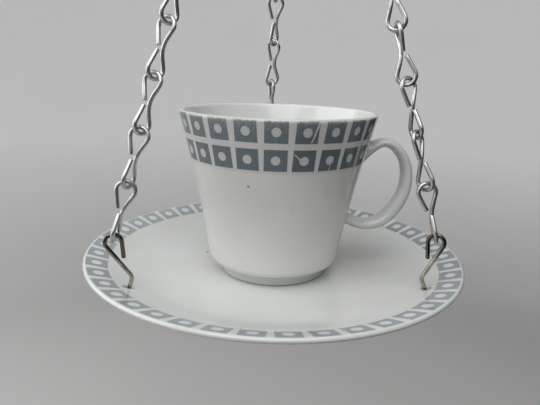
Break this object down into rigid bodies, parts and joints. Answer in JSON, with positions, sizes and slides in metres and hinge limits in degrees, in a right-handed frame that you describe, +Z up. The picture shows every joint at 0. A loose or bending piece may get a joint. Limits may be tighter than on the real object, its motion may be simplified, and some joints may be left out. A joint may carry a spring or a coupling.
{
  "type": "teacup bird feeder",
  "caption": "Hanging bird feeder: a porcelain teacup glued upright on its saucer, which hangs by S-hooks on jack chains from a ring and a hook.",
  "frame": {"origin": "the bearing point inside the top of the hanging hook's upper bow", "axes": "+Z up along the line the feeder hangs on; the side seen in the picture faces -Y, and the cup's handle points to +X"},
  "size_m": [0.15, 0.15, 0.2958],
  "materials": {
    "cup_porcelain": "gloss",
    "saucer_porcelain": "gloss",
    "adhesive": "matte",
    "zinc_wire": "bright zinc plated",
    "nickel_wire": "nickel plated"
  },
  "bodies": {
    "hanging_hook": {"hanging_hook": "nickel_wire"},
    "ring": {"ring": "zinc_wire"},
    "feeder": {"cup": "cup_porcelain", "adhesive_pad": "adhesive", "saucer": "saucer_porcelain"},
    "s_hook_back": {"s_hook_back": "nickel_wire"},
    "link_back_01": {"link_back_01": "zinc_wire"},
    "link_back_02": {"link_back_02": "zinc_wire"},
    "link_back_03": {"link_back_03": "zinc_wire"},
    "link_back_04": {"link_back_04": "zinc_wire"},
    "link_back_05": {"link_back_05": "zinc_wire"},
    "link_back_06": {"link_back_06": "zinc_wire"},
    "link_back_07": {"link_back_07": "zinc_wire"},
    "link_back_08": {"link_back_08": "zinc_wire"},
    "link_back_09": {"link_back_09": "zinc_wire"},
    "link_back_10": {"link_back_10": "zinc_wire"},
    "link_back_11": {"link_back_11": "zinc_wire"},
    "link_back_12": {"link_back_12": "zinc_wire"},
    "s_hook_left": {"s_hook_left": "nickel_wire"},
    "link_left_01": {"link_left_01": "zinc_wire"},
    "link_left_02": {"link_left_02": "zinc_wire"},
    "link_left_03": {"link_left_03": "zinc_wire"},
    "link_left_04": {"link_left_04": "zinc_wire"},
    "link_left_05": {"link_left_05": "zinc_wire"},
    "link_left_06": {"link_left_06": "zinc_wire"},
    "link_left_07": {"link_left_07": "zinc_wire"},
    "link_left_08": {"link_left_08": "zinc_wire"},
    "link_left_09": {"link_left_09": "zinc_wire"},
    "link_left_10": {"link_left_10": "zinc_wire"},
    "link_left_11": {"link_left_11": "zinc_wire"},
    "link_left_12": {"link_left_12": "zinc_wire"},
    "s_hook_right": {"s_hook_right": "nickel_wire"},
    "link_right_01": {"link_right_01": "zinc_wire"},
    "link_right_02": {"link_right_02": "zinc_wire"},
    "link_right_03": {"link_right_03": "zinc_wire"},
    "link_right_04": {"link_right_04": "zinc_wire"},
    "link_right_05": {"link_right_05": "zinc_wire"},
    "link_right_06": {"link_right_06": "zinc_wire"},
    "link_right_07": {"link_right_07": "zinc_wire"},
    "link_right_08": {"link_right_08": "zinc_wire"},
    "link_right_09": {"link_right_09": "zinc_wire"},
    "link_right_10": {"link_right_10": "zinc_wire"},
    "link_right_11": {"link_right_11": "zinc_wire"},
    "link_right_12": {"link_right_12": "zinc_wire"}
  },
  "joints": [
    {"name": "ring_swing", "type": "hinge", "parent": "hanging_hook", "child": "ring", "pos_m": [0, 0, -0.041], "axis": [0, 1, 0], "range_deg": [-20, 20]},
    {"name": "feeder_swing", "type": "hinge", "parent": "ring", "child": "feeder", "pos_m": [0, 0, -0.0546], "axis": [1, 0, 0], "range_deg": [-20, 20]},
    {"name": "s_hook_back_turn", "type": "hinge", "parent": "feeder", "child": "s_hook_back", "pos_m": [-0.00489, 0.06211, -0.28481], "axis": [0.0072, -0.0913, 0.9958], "range_deg": [-20, 20]},
    {"name": "twist_back_01", "type": "hinge", "parent": "feeder", "child": "link_back_01", "pos_m": [-0.00454, 0.05774, -0.25916], "axis": [0.0214, -0.2716, 0.9622], "range_deg": [-18.47, 18.47]},
    {"name": "twist_back_02", "type": "hinge", "parent": "feeder", "child": "link_back_02", "pos_m": [-0.00415, 0.05269, -0.24126], "axis": [0.0214, -0.2716, 0.9622], "range_deg": [-16.93, 16.93]},
    {"name": "twist_back_03", "type": "hinge", "parent": "feeder", "child": "link_back_03", "pos_m": [-0.00375, 0.04764, -0.22337], "axis": [0.0214, -0.2716, 0.9622], "range_deg": [-15.39, 15.39]},
    {"name": "twist_back_04", "type": "hinge", "parent": "feeder", "child": "link_back_04", "pos_m": [-0.00335, 0.04258, -0.20547], "axis": [0.0214, -0.2716, 0.9622], "range_deg": [-13.86, 13.86]},
    {"name": "twist_back_05", "type": "hinge", "parent": "feeder", "child": "link_back_05", "pos_m": [-0.00295, 0.03753, -0.18757], "axis": [0.0214, -0.2716, 0.9622], "range_deg": [-12.32, 12.32]},
    {"name": "twist_back_06", "type": "hinge", "parent": "feeder", "child": "link_back_06", "pos_m": [-0.00256, 0.03248, -0.16968], "axis": [0.0214, -0.2716, 0.9622], "range_deg": [-10.78, 10.78]},
    {"name": "twist_back_07", "type": "hinge", "parent": "feeder", "child": "link_back_07", "pos_m": [-0.00216, 0.02743, -0.15178], "axis": [0.0214, -0.2716, 0.9622], "range_deg": [-9.24, 9.24]},
    {"name": "twist_back_08", "type": "hinge", "parent": "feeder", "child": "link_back_08", "pos_m": [-0.00176, 0.02238, -0.13388], "axis": [0.0214, -0.2716, 0.9622], "range_deg": [-7.7, 7.7]},
    {"name": "twist_back_09", "type": "hinge", "parent": "feeder", "child": "link_back_09", "pos_m": [-0.00136, 0.01733, -0.11599], "axis": [0.0214, -0.2716, 0.9622], "range_deg": [-6.16, 6.16]},
    {"name": "twist_back_10", "type": "hinge", "parent": "feeder", "child": "link_back_10", "pos_m": [-0.00097, 0.01228, -0.09809], "axis": [0.0214, -0.2716, 0.9622], "range_deg": [-4.62, 4.62]},
    {"name": "twist_back_11", "type": "hinge", "parent": "feeder", "child": "link_back_11", "pos_m": [-0.00057, 0.00722, -0.08019], "axis": [0.0214, -0.2716, 0.9622], "range_deg": [-3.09, 3.09]},
    {"name": "twist_back_12", "type": "hinge", "parent": "feeder", "child": "link_back_12", "pos_m": [-0.00017, 0.00217, -0.0623], "axis": [0.0214, -0.2716, 0.9622], "range_deg": [-1.55, 1.55]},
    {"name": "s_hook_left_turn", "type": "hinge", "parent": "feeder", "child": "s_hook_left", "pos_m": [-0.05019, -0.03674, -0.28484], "axis": [-0.1928, -0.1122, 0.9748], "range_deg": [-20, 20]},
    {"name": "twist_left_01", "type": "hinge", "parent": "feeder", "child": "link_left_01", "pos_m": [-0.05143, -0.03699, -0.25584], "axis": [0.2268, 0.1753, 0.958], "range_deg": [-18.47, 18.47]},
    {"name": "twist_left_02", "type": "hinge", "parent": "feeder", "child": "link_left_02", "pos_m": [-0.04725, -0.03375, -0.23817], "axis": [0.2268, 0.1753, 0.958], "range_deg": [-16.93, 16.93]},
    {"name": "twist_left_03", "type": "hinge", "parent": "feeder", "child": "link_left_03", "pos_m": [-0.04307, -0.03052, -0.22049], "axis": [0.2268, 0.1753, 0.958], "range_deg": [-15.39, 15.39]},
    {"name": "twist_left_04", "type": "hinge", "parent": "feeder", "child": "link_left_04", "pos_m": [-0.03888, -0.02728, -0.20282], "axis": [0.2268, 0.1753, 0.958], "range_deg": [-13.86, 13.86]},
    {"name": "twist_left_05", "type": "hinge", "parent": "feeder", "child": "link_left_05", "pos_m": [-0.0347, -0.02405, -0.18514], "axis": [0.2268, 0.1753, 0.958], "range_deg": [-12.32, 12.32]},
    {"name": "twist_left_06", "type": "hinge", "parent": "feeder", "child": "link_left_06", "pos_m": [-0.03052, -0.02081, -0.16746], "axis": [0.2268, 0.1753, 0.958], "range_deg": [-10.78, 10.78]},
    {"name": "twist_left_07", "type": "hinge", "parent": "feeder", "child": "link_left_07", "pos_m": [-0.02633, -0.01758, -0.14979], "axis": [0.2268, 0.1753, 0.958], "range_deg": [-9.24, 9.24]},
    {"name": "twist_left_08", "type": "hinge", "parent": "feeder", "child": "link_left_08", "pos_m": [-0.02215, -0.01434, -0.13211], "axis": [0.2268, 0.1753, 0.958], "range_deg": [-7.7, 7.7]},
    {"name": "twist_left_09", "type": "hinge", "parent": "feeder", "child": "link_left_09", "pos_m": [-0.01796, -0.01111, -0.11444], "axis": [0.2268, 0.1753, 0.958], "range_deg": [-6.16, 6.16]},
    {"name": "twist_left_10", "type": "hinge", "parent": "feeder", "child": "link_left_10", "pos_m": [-0.01378, -0.00787, -0.09676], "axis": [0.2268, 0.1753, 0.958], "range_deg": [-4.62, 4.62]},
    {"name": "twist_left_11", "type": "hinge", "parent": "feeder", "child": "link_left_11", "pos_m": [-0.0096, -0.00464, -0.07908], "axis": [0.2268, 0.1753, 0.958], "range_deg": [-3.09, 3.09]},
    {"name": "twist_left_12", "type": "hinge", "parent": "feeder", "child": "link_left_12", "pos_m": [-0.00541, -0.0014, -0.06141], "axis": [0.2268, 0.1753, 0.958], "range_deg": [-1.55, 1.55]},
    {"name": "s_hook_right_turn", "type": "hinge", "parent": "feeder", "child": "s_hook_right", "pos_m": [0.05583, -0.02919, -0.28458], "axis": [0.0643, -0.0217, 0.9977], "range_deg": [-20, 20]},
    {"name": "twist_right_01", "type": "hinge", "parent": "feeder", "child": "link_right_01", "pos_m": [0.05439, -0.02812, -0.25492], "axis": [-0.2426, 0.1343, 0.9608], "range_deg": [-18.47, 18.47]},
    {"name": "twist_right_02", "type": "hinge", "parent": "feeder", "child": "link_right_02", "pos_m": [0.04995, -0.02567, -0.23733], "axis": [-0.2426, 0.1343, 0.9608], "range_deg": [-16.93, 16.93]},
    {"name": "twist_right_03", "type": "hinge", "parent": "feeder", "child": "link_right_03", "pos_m": [0.04551, -0.02321, -0.21974], "axis": [-0.2426, 0.1343, 0.9608], "range_deg": [-15.39, 15.39]},
    {"name": "twist_right_04", "type": "hinge", "parent": "feeder", "child": "link_right_04", "pos_m": [0.04107, -0.02075, -0.20215], "axis": [-0.2426, 0.1343, 0.9608], "range_deg": [-13.86, 13.86]},
    {"name": "twist_right_05", "type": "hinge", "parent": "feeder", "child": "link_right_05", "pos_m": [0.03663, -0.01829, -0.18456], "axis": [-0.2426, 0.1343, 0.9608], "range_deg": [-12.32, 12.32]},
    {"name": "twist_right_06", "type": "hinge", "parent": "feeder", "child": "link_right_06", "pos_m": [0.03219, -0.01583, -0.16697], "axis": [-0.2426, 0.1343, 0.9608], "range_deg": [-10.78, 10.78]},
    {"name": "twist_right_07", "type": "hinge", "parent": "feeder", "child": "link_right_07", "pos_m": [0.02775, -0.01337, -0.14938], "axis": [-0.2426, 0.1343, 0.9608], "range_deg": [-9.24, 9.24]},
    {"name": "twist_right_08", "type": "hinge", "parent": "feeder", "child": "link_right_08", "pos_m": [0.0233, -0.01091, -0.13179], "axis": [-0.2426, 0.1343, 0.9608], "range_deg": [-7.7, 7.7]},
    {"name": "twist_right_09", "type": "hinge", "parent": "feeder", "child": "link_right_09", "pos_m": [0.01886, -0.00845, -0.1142], "axis": [-0.2426, 0.1343, 0.9608], "range_deg": [-6.16, 6.16]},
    {"name": "twist_right_10", "type": "hinge", "parent": "feeder", "child": "link_right_10", "pos_m": [0.01442, -0.00599, -0.09661], "axis": [-0.2426, 0.1343, 0.9608], "range_deg": [-4.62, 4.62]},
    {"name": "twist_right_11", "type": "hinge", "parent": "feeder", "child": "link_right_11", "pos_m": [0.00998, -0.00353, -0.07902], "axis": [-0.2426, 0.1343, 0.9608], "range_deg": [-3.09, 3.09]},
    {"name": "twist_right_12", "type": "hinge", "parent": "feeder", "child": "link_right_12", "pos_m": [0.00554, -0.00108, -0.06143], "axis": [-0.2426, 0.1343, 0.9608], "range_deg": [-1.55, 1.55]}
  ],
  "couplings": [
    {"joint": "twist_back_01", "follows": "s_hook_back_turn", "ratio": 0.92308},
    {"joint": "twist_back_02", "follows": "s_hook_back_turn", "ratio": 0.84615},
    {"joint": "twist_back_03", "follows": "s_hook_back_turn", "ratio": 0.76923},
    {"joint": "twist_back_04", "follows": "s_hook_back_turn", "ratio": 0.69231},
    {"joint": "twist_back_05", "follows": "s_hook_back_turn", "ratio": 0.61538},
    {"joint": "twist_back_06", "follows": "s_hook_back_turn", "ratio": 0.53846},
    {"joint": "twist_back_07", "follows": "s_hook_back_turn", "ratio": 0.46154},
    {"joint": "twist_back_08", "follows": "s_hook_back_turn", "ratio": 0.38461},
    {"joint": "twist_back_09", "follows": "s_hook_back_turn", "ratio": 0.30769},
    {"joint": "twist_back_10", "follows": "s_hook_back_turn", "ratio": 0.23077},
    {"joint": "twist_back_11", "follows": "s_hook_back_turn", "ratio": 0.15385},
    {"joint": "twist_back_12", "follows": "s_hook_back_turn", "ratio": 0.076923},
    {"joint": "twist_left_01", "follows": "s_hook_left_turn", "ratio": 0.92308},
    {"joint": "twist_left_02", "follows": "s_hook_left_turn", "ratio": 0.84615},
    {"joint": "twist_left_03", "follows": "s_hook_left_turn", "ratio": 0.76923},
    {"joint": "twist_left_04", "follows": "s_hook_left_turn", "ratio": 0.69231},
    {"joint": "twist_left_05", "follows": "s_hook_left_turn", "ratio": 0.61538},
    {"joint": "twist_left_06", "follows": "s_hook_left_turn", "ratio": 0.53846},
    {"joint": "twist_left_07", "follows": "s_hook_left_turn", "ratio": 0.46154},
    {"joint": "twist_left_08", "follows": "s_hook_left_turn", "ratio": 0.38461},
    {"joint": "twist_left_09", "follows": "s_hook_left_turn", "ratio": 0.30769},
    {"joint": "twist_left_10", "follows": "s_hook_left_turn", "ratio": 0.23077},
    {"joint": "twist_left_11", "follows": "s_hook_left_turn", "ratio": 0.15385},
    {"joint": "twist_left_12", "follows": "s_hook_left_turn", "ratio": 0.076923},
    {"joint": "twist_right_01", "follows": "s_hook_right_turn", "ratio": 0.92308},
    {"joint": "twist_right_02", "follows": "s_hook_right_turn", "ratio": 0.84615},
    {"joint": "twist_right_03", "follows": "s_hook_right_turn", "ratio": 0.76923},
    {"joint": "twist_right_04", "follows": "s_hook_right_turn", "ratio": 0.69231},
    {"joint": "twist_right_05", "follows": "s_hook_right_turn", "ratio": 0.61538},
    {"joint": "twist_right_06", "follows": "s_hook_right_turn", "ratio": 0.53846},
    {"joint": "twist_right_07", "follows": "s_hook_right_turn", "ratio": 0.46154},
    {"joint": "twist_right_08", "follows": "s_hook_right_turn", "ratio": 0.38461},
    {"joint": "twist_right_09", "follows": "s_hook_right_turn", "ratio": 0.30769},
    {"joint": "twist_right_10", "follows": "s_hook_right_turn", "ratio": 0.23077},
    {"joint": "twist_right_11", "follows": "s_hook_right_turn", "ratio": 0.15385},
    {"joint": "twist_right_12", "follows": "s_hook_right_turn", "ratio": 0.076923}
  ]
}
